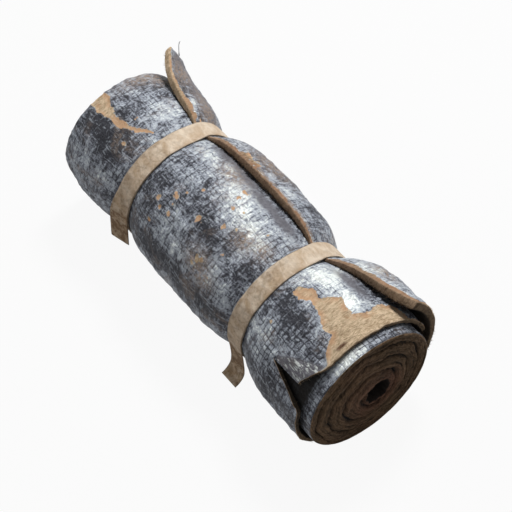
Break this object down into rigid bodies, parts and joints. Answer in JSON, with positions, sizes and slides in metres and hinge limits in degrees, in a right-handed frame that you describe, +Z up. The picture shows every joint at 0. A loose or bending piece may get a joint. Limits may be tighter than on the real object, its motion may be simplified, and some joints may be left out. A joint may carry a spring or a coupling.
{
  "type": "insulation roll",
  "caption": "Worn roll of foil-faced wool insulation mat lying on its side, in a loose torn outer wrap tied with cloth straps, with a bore through its middle.",
  "frame": {"origin": "on the axis of the bore, half-way along the rolled mat", "axes": "+X along the bore towards the end that shows its turns, +Z up, +Y towards the side where the wrap's loose edge lies"},
  "size_m": [1.032, 0.4349, 0.3941],
  "materials": {
    "wool": "brown fibrous wool, dusty, darker between the turns",
    "foil_faced_wool": "wool faced with crumpled aluminium foil over a scrim grid, tarnished, with brown stains",
    "strap_cloth": "tan woven cloth tape, blotched"
  },
  "bodies": {
    "root": {"rolled_mat": "wool", "outer_wrap": "foil_faced_wool", "rear_strap": "strap_cloth", "front_strap": "strap_cloth"}
  },
  "joints": []
}
